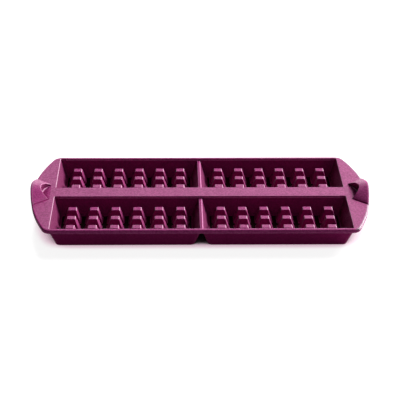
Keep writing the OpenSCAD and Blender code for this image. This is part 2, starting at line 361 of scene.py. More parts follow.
def highlit(face, lowest=0.35):
    """True on the small rounded faces of a convex edge that looks up, and on the flat band beside it; these
    faces take a painted highlight
    """
    narrow = min(edge.calc_length() for edge in face.edges) < NARROW
    if face.normal.z >= FLAT_NZ:
        return narrow and len(face.verts) == 4
    bends = [edge.calc_face_angle_signed(0) for edge in face.edges]
    least = math.radians(BEND_DEG)
    return lowest < face.normal.z < FLAT_NZ and narrow and max(bends) > least and min(bends) > -least


def make_piece(name, bm, nodes, material, *others):
    """Turns a bmesh into a riding piece that stands for CAD nodes; others are (finish, test of a face)"""
    bmesh.ops.recalc_face_normals(bm, faces=bm.faces)
    for face in bm.faces:
        face.smooth = True
        hits = [i for i, (_, test) in enumerate(others, 1) if test(face)]
        face.material_index = hits[0] if hits else 0
    for edge in bm.edges:
        edge.smooth = edge.calc_face_angle(0) < math.radians(SHARP_DEG)
    mesh = bpy.data.meshes.new(name)
    bm.to_mesh(mesh)
    bm.free()
    for finish in [material] + [finish for finish, _ in others]:
        mesh.materials.append(finish)
    piece = bpy.data.objects.new(name, mesh)
    bpy.context.scene.collection.objects.link(piece)
    hold = piece.modifiers.new("even_shading", "WEIGHTED_NORMAL")
    hold.keep_sharp = True
    hold.weight = 100
    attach(piece, BODY)
    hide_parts(*nodes)


def mirror_x(points):
    """The points on the other side of the mould's middle"""
    return [(-p[0],) + tuple(p[1:]) for p in points]


def node_group(name, inputs, outputs):
    """An empty shader group with named sockets"""
    group = bpy.data.node_groups.new(name, "ShaderNodeTree")
    for label, kind, value in inputs:
        socket = group.interface.new_socket(label, in_out="INPUT", socket_type=kind)
        socket.default_value = value
    for label, kind in outputs:
        group.interface.new_socket(label, in_out="OUTPUT", socket_type=kind)
    return group, group.nodes.new("NodeGroupInput"), group.nodes.new("NodeGroupOutput")


def math_node(tree, kind, *values):
    """Output of a math node whose inputs are sockets or plain numbers"""
    node = tree.nodes.new("ShaderNodeMath")
    node.operation = kind
    for slot, value in zip(node.inputs, values):
        if isinstance(value, bpy.types.NodeSocket):
            tree.links.new(value, slot)
        else:
            slot.default_value = value
    return node.outputs[0]


def noise(tree, scale, detail, rough):
    """A noise texture with its values set"""
    node = tree.nodes.new("ShaderNodeTexNoise")
    node.inputs["Scale"].default_value = scale
    node.inputs["Detail"].default_value = detail
    node.inputs["Roughness"].default_value = rough
    return node


def cloud_group():
    """Slow clouds and fine flecks of a paler tone and of gloss, as in pigmented silicone"""
    group, gin, gout = node_group(
        "silicone_cloud",
        [("Vector", "NodeSocketVector", (0, 0, 0)), ("Deep", "NodeSocketColor", (0.3, 0, 0.1, 1)),
         ("Pale", "NodeSocketColor", (0.4, 0, 0.2, 1)), ("Matt", "NodeSocketFloat", 0.5),
         ("Gloss", "NodeSocketFloat", 0.4)],
        [("Colour", "NodeSocketColor"), ("Roughness", "NodeSocketFloat")])
    link = group.links.new
    slow, fleck = noise(group, CLOUD_SCALE, 4, 0.6), noise(group, FLECK_SCALE, 3, 0.6)
    crisp = group.nodes.new("ShaderNodeMapRange")
    crisp.inputs["From Min"].default_value = FLECK_FROM
    crisp.inputs["From Max"].default_value = FLECK_TO
    mix = group.nodes.new("ShaderNodeMix")
    mix.data_type = "RGBA"
    rough = group.nodes.new("ShaderNodeMapRange")
    rough.inputs["From Min"].default_value = GLOSS_FROM
    rough.inputs["From Max"].default_value = GLOSS_TO
    link(gin.outputs["Vector"], slow.inputs["Vector"])
    link(gin.outputs["Vector"], fleck.inputs["Vector"])
    link(fleck.outputs["Fac"], crisp.inputs["Value"])
    slow_share = math_node(group, "MULTIPLY", slow.outputs["Fac"], 1 - FLECK_SHARE)
    blend = math_node(group, "MULTIPLY_ADD", crisp.outputs["Result"], FLECK_SHARE, slow_share)
    link(blend, mix.inputs["Factor"])
    link(gin.outputs["Deep"], mix.inputs[6])
    link(gin.outputs["Pale"], mix.inputs[7])
    link(mix.outputs[2], gout.inputs["Colour"])
    link(blend, rough.inputs["Value"])
    link(gin.outputs["Matt"], rough.inputs["To Min"])
    link(gin.outputs["Gloss"], rough.inputs["To Max"])
    link(rough.outputs["Result"], gout.inputs["Roughness"])
    return group


def grain_group():
    """Fine spark-eroded grain left by the mould tool"""
    group, gin, gout = node_group(
        "tool_grain", [("Vector", "NodeSocketVector", (0, 0, 0)), ("Scale", "NodeSocketFloat", 2000.0)],
        [("Height", "NodeSocketFloat")])
    link = group.links.new
    fine = noise(group, 2000, 2, 0.55)
    link(gin.outputs["Vector"], fine.inputs["Vector"])
    link(gin.outputs["Scale"], fine.inputs["Scale"])
    link(fine.outputs["Fac"], gout.inputs["Height"])
    return group


def silicone(name, deep, pale, matt, gloss, grain_scale, grain_depth, specular=0.5):
    """Pigmented silicone with a tool-grain skin"""
    found = bpy.data.materials.get(name)
    if found:
        return found
    mat = bpy.data.materials.new(name)
    mat.use_nodes = True
    tree = mat.node_tree
    shader = tree.nodes["Principled BSDF"]
    where = tree.nodes.new("ShaderNodeTexCoord")
    cloud = tree.nodes.new("ShaderNodeGroup")
    cloud.node_tree = bpy.data.node_groups.get("silicone_cloud") or cloud_group()
    cloud.inputs["Deep"].default_value = (*deep, 1)
    cloud.inputs["Pale"].default_value = (*pale, 1)
    cloud.inputs["Matt"].default_value = matt
    cloud.inputs["Gloss"].default_value = gloss
    grain = tree.nodes.new("ShaderNodeGroup")
    grain.node_tree = bpy.data.node_groups.get("tool_grain") or grain_group()
    grain.inputs["Scale"].default_value = grain_scale
    bump = tree.nodes.new("ShaderNodeBump")
    bump.inputs["Strength"].default_value = grain_depth
    bump.inputs["Distance"].default_value = GRAIN_HEIGHT
    link = tree.links.new
    link(where.outputs["Object"], cloud.inputs["Vector"])
    link(where.outputs["Object"], grain.inputs["Vector"])
    link(cloud.outputs["Colour"], shader.inputs["Base Color"])
    link(cloud.outputs["Roughness"], shader.inputs["Roughness"])
    link(grain.outputs["Height"], bump.inputs["Height"])
    link(bump.outputs["Normal"], shader.inputs["Normal"])
    shader.inputs["IOR"].default_value = SILICONE_IOR
    shader.inputs["Specular IOR Level"].default_value = specular
    return mat


def deck_silicone():
    """The deck, the lips and the pegs' tops"""
    tones = bpy.context.scene.mould_finish
    return silicone("silicone_deck", tones.plum, tones.plum_light, matt=0.46, gloss=0.36,
                    grain_scale=1500, grain_depth=0.45)


def well_shade_silicone():
    """Darker copy of the deck's silicone for the wells' long walls, the pegs' fronts and backs, and the
    ridges: painted shade inside the wells
    """
    tones = bpy.context.scene.mould_finish
    return silicone("silicone_well_shade", tones.well_shade_plum, tones.well_shade_plum_light, matt=0.50, gloss=0.40,
                    grain_scale=2000, grain_depth=0.3, specular=0.1)


def end_shade_silicone():
    """Darker copy for the wells' end walls, the pegs' left-hand flanks and the grips' steps, with a little
    more gloss: painted shade
    """
    tones = bpy.context.scene.mould_finish
    return silicone("silicone_end_shade", tones.end_shade_plum, tones.end_shade_plum_light, matt=0.52, gloss=0.42,
                    grain_scale=2000, grain_depth=0.3, specular=0.25)


def lamp_side_flank_silicone():
    """Paler copy for the pegs' right-hand flanks, which face the lamp: painted light"""
    tones = bpy.context.scene.mould_finish
    return silicone("silicone_lamp_side_flank", tones.lamp_side_flank_plum, tones.lamp_side_flank_plum_light, matt=0.50, gloss=0.40,
                    grain_scale=2000, grain_depth=0.3)


def strong_highlight_silicone():
    """Palest tone, for the pegs' side edges and the wells' edges at the end flanges: painted highlight"""
    tones = bpy.context.scene.mould_finish
    return silicone("silicone_strong_highlight", tones.strong_highlight_plum, tones.strong_highlight_plum_light, matt=0.52, gloss=0.42,
                    grain_scale=2400, grain_depth=0.15)


def dip_silicone():
    """The thumb dips, in the deck's tones but duller"""
    tones = bpy.context.scene.mould_finish
    return silicone("silicone_dip", tones.plum, tones.plum_light, matt=0.58, gloss=0.48,
                    grain_scale=1500, grain_depth=0.45, specular=0.2)


def foot_highlight_silicone():
    """The fillets at the feet of the steps, pale and dull: painted highlight"""
    tones = bpy.context.scene.mould_finish
    return silicone("silicone_foot_highlight", tones.strong_highlight_plum, tones.strong_highlight_plum_light, matt=0.55, gloss=0.45,
                    grain_scale=2400, grain_depth=0.15, specular=0.03)


def brink_highlight_silicone():
    """The deck's outer edge, pale and dull: painted highlight"""
    tones = bpy.context.scene.mould_finish
    return silicone("silicone_brink_highlight", tones.brink_highlight_plum, tones.brink_highlight_plum_light, matt=0.55, gloss=0.45,
                    grain_scale=1500, grain_depth=0.3, specular=0.15)


def lamp_side_edge_silicone():
    """The outer edge round the right-hand end, which faces the lamp, greyer and glossier than the rest of it:
    painted highlight
    """
    tones = bpy.context.scene.mould_finish
    return silicone("silicone_lamp_side_edge", tones.lamp_side_edge_plum, tones.lamp_side_edge_plum_light, matt=0.50, gloss=0.40,
                    grain_scale=1500, grain_depth=0.3, specular=0.4)


def pit_shade_silicone():
    """The well floors between the pegs, near black and dull: painted shade"""
    tones = bpy.context.scene.mould_finish
    return silicone("silicone_pit_shade", tones.pit_shade_plum, tones.pit_shade_plum_light, matt=0.62, gloss=0.52,
                    grain_scale=2000, grain_depth=0.3, specular=0.06)


def edge_highlight_silicone():
    """The edges of the strips, ridges and steps, paler and smoother: painted highlight"""
    tones = bpy.context.scene.mould_finish
    return silicone("silicone_edge_highlight", tones.edge_highlight_plum, tones.edge_highlight_plum_light, matt=0.52, gloss=0.42,
                    grain_scale=2400, grain_depth=0.15, specular=0.4)


def outer_silicone():
    """The outside of the wells, dull"""
    tones = bpy.context.scene.mould_finish
    return silicone("silicone_outer", tones.outer_plum, tones.outer_plum_light, matt=0.60, gloss=0.50,
                    grain_scale=1800, grain_depth=0.35, specular=0.12)


def edge_profile(f):
    """Inset and drop below the top of the rounded outer edge, outwards and down"""
    turns = [math.pi / 2 * i / EDGE_STEPS for i in range(EDGE_STEPS + 1)]
    return [(f.s.edge_w * (1 - math.sin(a)), f.s.edge_h * (1 - math.cos(a))) for a in turns]


def seam_profile(f):
    """Inset and drop below the top of the parting seam's four corners, downwards"""
    drop, groove = f.s.seam_drop, f.s.seam_depth
    upper, lower, end = SEAM_STEPS
    return [(0, drop), (groove, drop + upper), (groove, drop + lower), (0, drop + end)]


def outer_levels(f):
    """Inset and height of each loop up the deck's outer edge, past the parting seam"""
    side = list(reversed(edge_profile(f) + seam_profile(f)))
    return [(0, f.deck_z)] + [(d, f.top - z) for d, z in side] + [(f.s.edge_w * EDGE_MARGIN, f.top)]


def well_levels(f):
    """Inset and height of each loop where the deck turns down into a well"""
    r = f.s.well_edge_r
    low, crest = Vector((-f.lean, f.deck_z)), Vector((0, f.top))
    slope = [tuple(low.lerp(crest, share)) for share in SLOPE_SHARES]
    bend = arc(low, crest, (r * 4, f.top), r, EDGE_STEPS)
    # The last loop ends a flat band beside the edge that takes the painted edge highlight
    return slope + bend + [(bend[-1][0] + f.s.band_w, f.top)]


def strip(name, node, low, high):
    """Straight strip of deck along X; low and high are (y, levels, sign) of its two edges"""
    f = form()
    profile = [(low[0] + low[2] * d, z) for d, z in low[1]]
    profile += [(high[0] + high[2] * d, z) for d, z in reversed(high[1])]
    bm = bmesh.new()
    sweep(bm, [[(x, y, z) for x in (-f.split_x, f.split_x)] for y, z in profile])
    # Paler tones on the outer edge and the rounded well edges: painted highlights
    make_piece(name, bm, [node], deck_silicone(), (brink_highlight_silicone(), f.brink), (edge_highlight_silicone(), highlit))


def deck_quarter(f, inset, start):
    """Outline from angle start on the right-hand bow round the corner to the back edge"""
    s = f.s
    cy = f.deck_half - s.deck_corner
    cx = f.bow_x + math.sqrt((s.bow_r - s.deck_corner) ** 2 - cy * cy)
    end = math.asin(cy / (s.bow_r - s.deck_corner))
    bow, corner = s.bow_r - inset, s.deck_corner - inset
    points = []
    for i in range(BOW_STEPS + 1):
        a = start + (end - start) * i / BOW_STEPS
        points.append((f.bow_x + bow * math.cos(a), bow * math.sin(a)))
    for i in range(1, DECK_CORNER_STEPS + 1):
        a = end + (math.pi / 2 - end) * i / DECK_CORNER_STEPS
        points.append((cx + corner * math.cos(a), cy + corner * math.sin(a)))
    return points


def flange_outline(f):
    """Plan of the right-hand flange, anticlockwise, as (x, y, kind of the edge that follows)"""
    s = f.s
    quarter = deck_quarter(f, 0, math.asin(s.brim_half / s.bow_r))
    path = [(f.split_x, -f.deck_half, "outer")]
    path += [(x, -y, "outer") for x, y in reversed(quarter)]
    path[-1] = (*path[-1][:2], "plain")
    path += [(f.step_x, -s.step_half, "plain"), (f.step_x, s.step_half, "plain")]
    path += [(x, y, "outer") for x, y in quarter]
    path.append((f.split_x, f.deck_half, "plain"))
    for y_far, y_near in ((f.well_side, s.web_w / 2), (-s.web_w / 2, -f.well_side)):
        path.append((f.split_x, y_far, "well"))
        r = s.top_corner
        for cy, start in ((y_far - r, 90), (y_near + r, 0)):
            for i in range(CORNER_STEPS + 1):
                a = math.radians(start - 90 * i / CORNER_STEPS)
                path.append((f.well_end - r + r * math.cos(a), cy + r * math.sin(a), "well"))
        path.append((f.split_x, y_near, "plain"))
    return path


def corner_shift(before, at, after, inset_before, inset_after):
    """Move of an outline's corner when the edges before and after it move inwards by their insets"""
    e0 = Vector((at[0] - before[0], at[1] - before[1])).normalized()
    e1 = Vector((after[0] - at[0], after[1] - at[1])).normalized()
    n0, n1 = Vector((-e0.y, e0.x)), Vector((-e1.y, e1.x))
    det = n0.x * n1.y - n0.y * n1.x
    a, b = inset_before, inset_after
    if abs(det) < PARALLEL:
        return n1 * ((a + b) / 2)
    return Vector(((a * n1.y - b * n0.y) / det, (b * n0.x - a * n1.x) / det))


def flange(name, node, side):
    """End flange: a sheet with a filleted outer edge and filleted well edges"""
    f = form()
    path = flange_outline(f)
    outer, well = outer_levels(f), well_levels(f)
    loops = []
    for (outer_inset, outer_z), (well_inset, well_z) in zip(outer, well):
        inset = {"outer": outer_inset, "well": well_inset, "plain": 0.0}
        loop = []
        for i, (x, y, kind) in enumerate(path):
            before, after = path[i - 1], path[(i + 1) % len(path)]
            kinds = (before[2], kind)
            shift = corner_shift(before, (x, y), after, inset[kinds[0]], inset[kinds[1]])
            loop.append((x + shift.x, y + shift.y, well_z if "well" in kinds else outer_z))
        loops.append(loop if side > 0 else mirror_x(loop))
    bm = bmesh.new()
    tube(bm, loops)

    def well_edge(face):
        """The rounded edge of the deck over a well's end wall, given the palest tone: painted highlight"""
        return face.normal.x * side < -0.15 and 0.4 < face.normal.z < FLAT_NZ

    def end_wall(face):
        """The top of a well's end wall, under that edge, given the darker end tone: painted shade"""
        return face.normal.x * side < -SIDEWAYS_NX and face.normal.z > 0

    # Outer edge paler, greyer at the lamp-facing end, well edges palest: painted highlights; end walls
    # darker: painted shade
    make_piece(name, bm, [node], deck_silicone(), (lamp_side_edge_silicone(), f.lamp_side_brink),
               (brink_highlight_silicone(), f.brink), (strong_highlight_silicone(), well_edge), (end_shade_silicone(), end_wall))


def lip(name, node, side):
    """Turned-down edge under the deck, from one grip round to the other"""
    f = form()
    s = f.s
    low = f.top - s.lip_h
    section = [(0, f.deck_z)] + arc((0, f.deck_z), (0, low), (s.lip_w, low), s.bead_r, EDGE_STEPS)
    section += arc((0, low), (s.lip_w, low), (s.lip_w, f.deck_z), s.bead_r * INNER_BEAD, EDGE_STEPS)
    section.append((s.lip_w, f.deck_z))
    start = math.asin(s.brim_half / s.bow_r)
    rows = []
    for d, z in section:
        quarter = deck_quarter(f, d, start)
        path = quarter + mirror_x(reversed(quarter))
        rows.append([(x, side * y, z) for x, y in path])
    bm = bmesh.new()
    sweep(bm, rows)
    # Paler tone on the outer edge and the lip's face: painted highlight
    make_piece(name, bm, [node], deck_silicone(), (brink_highlight_silicone(), f.brink))


def step_arch(angle):
    """Share of the step's rise at an angle: a plain arch"""
    return max(math.cos(angle), 0) ** STEP_ARCH_POWER


def brim_arch(angle):
    """Share of the outer edge's rise at an angle: a round crest, straight slopes and a short steep foot"""
    v = abs(math.sin(angle))
    slope = (math.hypot(v, CREST_SHARE) - CREST_SHARE) / (math.hypot(1, CREST_SHARE) - CREST_SHARE)
    return (1 - FOOT_SHARE) * (1 - slope) + FOOT_SHARE * math.sqrt(max(1 - v ** FOOT_POWER, 0))


def grip_point(f, u, angle, drop):
    """Point of the arched grip: u from step to outer edge, angle across, drop below the top skin"""
    s = f.s
    v = math.sin(angle)
    half = s.step_half + (s.brim_half - s.step_half) * u
    near = f.step_at(angle)
    far = f.bow_at(s.brim_half * v) + s.brim_bow * (1 - v * v)
    rise = s.step_rise * step_arch(angle) * (1 - u) + s.brim_rise * brim_arch(angle) * u
    return near + (far - near) * u, v * half, f.top + rise - drop


def grip_section(f, angle):
    """Closed section of a grip at an angle: step wall, hood, seam, turned-down edge and hollow"""
    s = f.s
    run = (Vector(grip_point(f, 1, angle, 0)) - Vector(grip_point(f, 0, angle, 0))).xy.length
    foot = f.top - s.thumb_dip * math.cos(angle) - s.deck_t
    edge = run - HOLLOW_INSET * s.lip_w
    hood = edge - s.step_t

    def at(place, drop):
        """Point at a place along the section, dropped below the top skin"""
        return grip_point(f, place / run, angle, drop)

    def level(place, z):
        """Point at a place along the section, at height z"""
        return (*grip_point(f, place / run, angle, 0)[:2], z)

    points = [level(0, foot)]
    points += [at(d, z) for d, z in arc((0, FAR), (0, 0), (FAR, 0), s.step_edge_r, EDGE_STEPS)]
    points += [at(s.step_t + hood * i / HOOD_STEPS, 0) for i in range(HOOD_STEPS + 1)]
    rim = edge_profile(f) + seam_profile(f)
    rim += arc((0, 0), (0, s.lip_h), (FAR, s.lip_h), s.bead_r, EDGE_STEPS)
    points += [at(run - d, z) for d, z in rim]
    bead = s.bead_r * HOLLOW_BEAD
    under = arc((edge + FAR, s.lip_h), (edge, s.lip_h), (edge, s.deck_t), bead, EDGE_STEPS)
    under += [(edge, s.deck_t + HOLLOW_RISE), (edge - HOLLOW_BEVEL, s.deck_t)]
    under += [(s.step_t + hood * share, s.deck_t) for share in HOLLOW_SHARES]
    points += [at(d, z) for d, z in under]
    points += [at(s.step_t + HOLLOW_BEVEL, s.deck_t), level(s.step_t, foot)]
    return points


def grip(name, node, side):
    """Arched grip: a hood on a curved step, hollow below, with the lip along its outer edge"""
    f = form()
    angles = [math.radians(-90 + 180 * j / GRIP_COLUMNS) for j in range(GRIP_COLUMNS + 1)]
    sections = [grip_section(f, angle) for angle in angles]
    rows = [list(row) for row in zip(*sections)]
    bm = bmesh.new()
    sweep(bm, rows if side > 0 else [mirror_x(row) for row in rows])

    def step_edge(face):
        """The fillet along the step's top, given the paler edge tone: painted highlight"""
        at = face.calc_center_median()
        reach = abs(at.y) / f.s.step_half
        past = abs(at.x) - f.step_at(math.asin(min(reach, 1)))
        return reach < 1 and past < 0.6 * f.s.step_edge_r and 0.25 < face.normal.z < 0.97

    def crease_shade(face):
        """The crease where the hood meets the flange, given the darker well tone: painted shade"""
        low = face.calc_center_median().z < f.top + HOOD_FOOT_H
        return low and abs(face.normal.y) > 0.2 and 0.2 < face.normal.z < 0.96

    def step_wall(face):
        """The step's upright face, given the darker end tone: painted shade"""
        return face.normal.x * side < -0.25 and face.normal.z < 0.6

    # Paler outer edge and step edge: painted highlights; darker crease and step face: painted shade
    make_piece(name, bm, [node], deck_silicone(), (lamp_side_edge_silicone(), f.lamp_side_brink),
               (brink_highlight_silicone(), f.brink), (edge_highlight_silicone(), step_edge), (well_shade_silicone(), crease_shade),
               (end_shade_silicone(), step_wall))


def dip_section(f, angle):
    """Closed section of a thumb dip at an angle, with the fillet at the step's foot"""
    s = f.s
    c = math.cos(angle)
    run = f.step_at(angle) - f.step_x
    r = min(s.step_foot_r, 0.3 * run)

    def at(place, lift):
        """Point at a place along the dip, lifted off its skin"""
        u = place / run
        return (f.step_x + place, s.step_half * math.sin(angle), f.top - s.thumb_dip * c * u * u + lift)

    points = [at(run * i / DIP_STEPS * (1 - r / run), 0) for i in range(DIP_STEPS)]
    for i in range(EDGE_STEPS + 1):
        a = math.pi / 2 * i / EDGE_STEPS
        points.append(at(run - r + r * math.sin(a), r - r * math.cos(a)))
    points += [at(run * (1 - i / DIP_STEPS), -s.deck_t) for i in range(DIP_STEPS + 1)]
    return points


def thumb_dip(name, node, side):
    """Tongue of deck that dips to the foot of a grip's step"""
    f = form()
    limit = math.radians(DIP_LIMIT_DEG)
    sections = [dip_section(f, limit * (2 * j / DIP_COLUMNS - 1)) for j in range(DIP_COLUMNS + 1)]
    rows = [list(row) for row in zip(*sections)]
    bm = bmesh.new()
    sweep(bm, rows if side > 0 else [mirror_x(row) for row in rows])

    def step_foot(face):
        """The fillet at the step's foot, given the palest tone: painted highlight"""
        return face.normal.x * side < 0 and 0.15 < face.normal.z < 0.97

    make_piece(name, bm, [node], dip_silicone(), (foot_highlight_silicone(), step_foot))


def well_loop(f, sx, sy, spread, z):
    """Loop round a well at height z that stands out from its floor rectangle by spread"""
    return round_rect(sx * f.well_x, sy * f.well_y, f.floor_l / 2 + spread, f.floor_w / 2 + spread,
                      f.corner_at(z, spread), z)


def floor_edge(f):
    """How far inside the floor rectangle the floor fillet ends"""
    return f.s.floor_r * math.tan((math.pi / 2 - f.s.wall_draft) / 2)


def well(name, node, sx, sy):
    """Sloped walls of a well with a floor fillet inside and a rounded foot outside"""
    f = form()
    s = f.s
    steps = CORNER_STEPS
    cap_z = f.deck_z - s.ridge_cap
    weights = [0.0] * (4 * (steps + 1))
    rising, falling = (1, 2) if sx > 0 else (3, 0)
    for i in range(steps + 1):
        weights[rising * (steps + 1) + i] = i / steps
        weights[falling * (steps + 1) + i] = 1 - i / steps

    def top_loop(spread_at):
        """Loop under the deck that drops to the ridge cap beside the ridge"""
        high = well_loop(f, sx, sy, spread_at(f.deck_z), f.deck_z)
        low = well_loop(f, sx, sy, spread_at(cap_z), cap_z)
        return [tuple(Vector(a).lerp(Vector(b), w)) for a, b, w in zip(high, low, weights)]

    def keep_side(loop):
        """The loop kept clear of the mould's middle"""
        return [(sx * max(sx * x, WELL_GAP), y, z) for x, y, z in loop]

    def outside(z):
        """How far the outer wall stands out from the floor rectangle at height z"""
        return f.side_t + f.wall_at(z)

    inner = arc((f.wall_at(f.top), f.top), (0, s.floor_t), (-FAR, s.floor_t), s.floor_r, EDGE_STEPS)
    foot = arc((-FAR, 0), (outside(0), 0), (outside(f.top), f.top), s.wall_foot_r, EDGE_STEPS)
    loops = [top_loop(f.wall_at)]
    loops += [well_loop(f, sx, sy, d, z) for d, z in inner]
    loops += [well_loop(f, sx, sy, inner[-1][0], 0)]
    loops += [well_loop(f, sx, sy, d, z) for d, z in foot]
    loops += [keep_side(top_loop(outside))]
    bm = bmesh.new()
    rows_to_faces(bm, loops, True, True)
    # Inside in the darker well tone and end walls darker still: painted shade
    make_piece(name, bm, [node], well_shade_silicone(), (outer_silicone(), lambda face: face.normal.z < 0),
               (end_shade_silicone(), lambda face: abs(face.normal.x) > SIDEWAYS_NX))


def peg_centres(f, sx, sy):
    """Middle of each peg of a well"""
    s = f.s
    return [(sx * f.well_x + (i - (s.peg_cols - 1) / 2) * s.peg_pitch,
             sy * f.well_y + (j - (s.peg_rows - 1) / 2) * s.peg_pitch)
            for i in range(s.peg_cols) for j in range(s.peg_rows)]


def well_floor(name, node, sx, sy):
    """Floor plate, open under each hollow peg"""
    f = form()
    s = f.s
    edge = -floor_edge(f)
    rims = {}
    for z in (0.0, s.floor_t):
        outlines = [well_loop(f, sx, sy, edge, s.floor_t)]
        for x, y in peg_centres(f, sx, sy):
            half = f.bore_at(z)
            outlines.append(round_rect(x, y, half, half, BORE_CORNER, z))
        rims[z] = [[(p[0], p[1], z) for p in line] for line in outlines]
    bm = bmesh.new()
    made = {z: [[bm.verts.new(p) for p in line] for line in lines] for z, lines in rims.items()}
    for z, lines in rims.items():
        flat = [v for line in made[z] for v in line]
        for tri in tessellate_polygon([[Vector((p[0], p[1], 0)) for p in line] for line in lines]):
            bm.faces.new([flat[i] for i in tri])
    for low, high in zip(made[0.0], made[s.floor_t]):
        for i in range(len(low)):
            j = (i + 1) % len(low)
            bm.faces.new((low[i], low[j], high[j], high[i]))
    # Near-black floor between the pegs: painted shade
    make_piece(name, bm, [node], pit_shade_silicone())


def pegs(name, node, sx, sy):
    """Field of hollow tapered pegs; its section holds half width, height and corner radius in millimetres"""
    f = form()
    s = f.s
    top, bore = s.floor_t + s.peg_h, s.floor_t + s.peg_h - s.peg_t
    foot_half, top_half = s.peg_foot / 2, s.peg_top / 2
    low, crest = (foot_half, s.floor_t), (top_half, top)
    foot = arc((foot_half + FAR, s.floor_t), low, crest, s.peg_foot_r, EDGE_STEPS)
    crown = arc(low, crest, (0, top), s.peg_top_r, EDGE_STEPS)
    hollow = [(f.bore_top - BORE_BEVEL, bore), (f.bore_top, bore - BORE_BEVEL),
              (f.bore_at(s.floor_t), s.floor_t)]
    section = [(half, z, corner) for (half, z), corner in zip(hollow, BORE_CORNERS_MM)]
    section += [(half, z, PEG_FOOT_CORNER_MM + max(half - foot_half, 0) / MM) for half, z in foot]
    section += [(half, z, max(PEG_TOP_CORNER_MM + min(half - top_half, 0) / MM, LEAST_PEG_CORNER_MM))
                for half, z in crown]
    bm = bmesh.new()
    for x, y in peg_centres(f, sx, sy):
        tube(bm, [round_rect(x, y, half, half, corner * MM, z, PEG_CORNER_STEPS)
                  for half, z, corner in section])

    def side_edge(face):
        """The rounded edges of a peg's top that look left or right, given the palest tone: painted highlight
        """
        return highlit(face, 0.2) and abs(face.normal.x) > 0.3

    # Fronts and backs darker, left flanks darker still: painted shade; right flanks paler and side edges
    # palest: painted light and highlight
    make_piece(name, bm, [node], well_shade_silicone(), (strong_highlight_silicone(), side_edge),
               (lamp_side_flank_silicone(), lambda face: face.normal.x > SIDEWAYS_NX),
               (end_shade_silicone(), lambda face: face.normal.x < -SIDEWAYS_NX),
               (deck_silicone(), lambda face: face.normal.z > 0.5))


def ridge(name, node, sy):
    """Rounded cap where the left and right walls meet between two wells"""
    f = form()
    s = f.s
    low = f.deck_z - s.ridge_cap

    def half_at(z):
        """Half width of the ridge at height z"""
        return s.ridge_gap / 2 + (f.top - z) * f.draft

    side = arc((half_at(low), low), (half_at(f.deck_z), f.deck_z), (0, f.deck_z), RIDGE_R, EDGE_STEPS)
    section = [(half_at(low), low)] + side
    section += [(-x, z) for x, z in reversed(section)]
    run = sorted((sy * (s.web_w / 2 + RIDGE_SHORT), sy * (f.well_side - RIDGE_SHORT)))
    bm = bmesh.new()
    sweep(bm, [[(x, y, z) for y in run] for x, z in section])
    # Ridge in the darker well tone: painted shade; its rounded edges paler: painted highlight
    make_piece(name, bm, [node], well_shade_silicone(), (edge_highlight_silicone(), highlit))


CORNERS = (("front_left", -1, -1), ("front_right", 1, -1), ("back_left", -1, 1), ("back_right", 1, 1))
ENDS = (("left", -1), ("right", 1))
SIDES = (("front", -1), ("back", 1))


class MOULD_OT_deck(bpy.types.Operator):
    """Makes the rims, the web between the rows and the two end flanges"""
    bl_idname = "mould.deck"
    bl_label = "Deck"

    def execute(self, context):
        f = form()
        outer, well_edge = outer_levels(f), well_levels(f)
        strip("rim_front", "front_rim", (-f.deck_half, outer, 1), (-f.well_side, well_edge, -1))
        strip("rim_back", "back_rim", (f.well_side, well_edge, 1), (f.deck_half, outer, -1))
        web = f.s.web_w / 2
        strip("web_centre", "centre_web", (-web, well_edge, 1), (web, well_edge, -1))
        for label, side in ENDS:
            flange("flange_" + label, label + "_flange", side)
        return {"FINISHED"}


class MOULD_OT_lips(bpy.types.Operator):
    """Makes the turned-down edges under the deck"""
    bl_idname = "mould.lips"
    bl_label = "Lips"

    def execute(self, context):
        for label, side in SIDES:
            lip("lip_" + label, label + "_lip", side)
        return {"FINISHED"}


class MOULD_OT_grips(bpy.types.Operator):
    """Makes the arched grips and the thumb dips at the feet of their steps"""
    bl_idname = "mould.grips"
    bl_label = "Grips"

    def execute(self, context):
        for label, side in ENDS:
            grip("grip_" + label, label + "_grip", side)
            thumb_dip("thumb_dip_" + label, label + "_thumb_dip", side)
        return {"FINISHED"}


class MOULD_OT_wells(bpy.types.Operator):
    """Makes the sloped walls of the wells"""
    bl_idname = "mould.wells"
    bl_label = "Wells"

    def execute(self, context):
        for label, sx, sy in CORNERS:
            well("well_" + label, label + "_well", sx, sy)
        return {"FINISHED"}


class MOULD_OT_floors(bpy.types.Operator):
    """Makes the floor plates of the wells"""
    bl_idname = "mould.floors"
    bl_label = "Floors"

    def execute(self, context):
        for label, sx, sy in CORNERS:
            well_floor("floor_" + label, label + "_floor", sx, sy)
        return {"FINISHED"}


class MOULD_OT_pegs(bpy.types.Operator):
    """Makes the fields of hollow pegs"""
    bl_idname = "mould.pegs"
    bl_label = "Pegs"

    def execute(self, context):
        for label, sx, sy in CORNERS:
            pegs("pegs_" + label, label + "_pegs", sx, sy)
        return {"FINISHED"}


class MOULD_OT_ridges(bpy.types.Operator):
    """Makes the ridge caps between left and right wells"""
    bl_idname = "mould.ridges"
    bl_label = "Ridges"

    def execute(self, context):
        for label, side in SIDES:
            ridge("ridge_" + label, label + "_ridge", side)
        return {"FINISHED"}


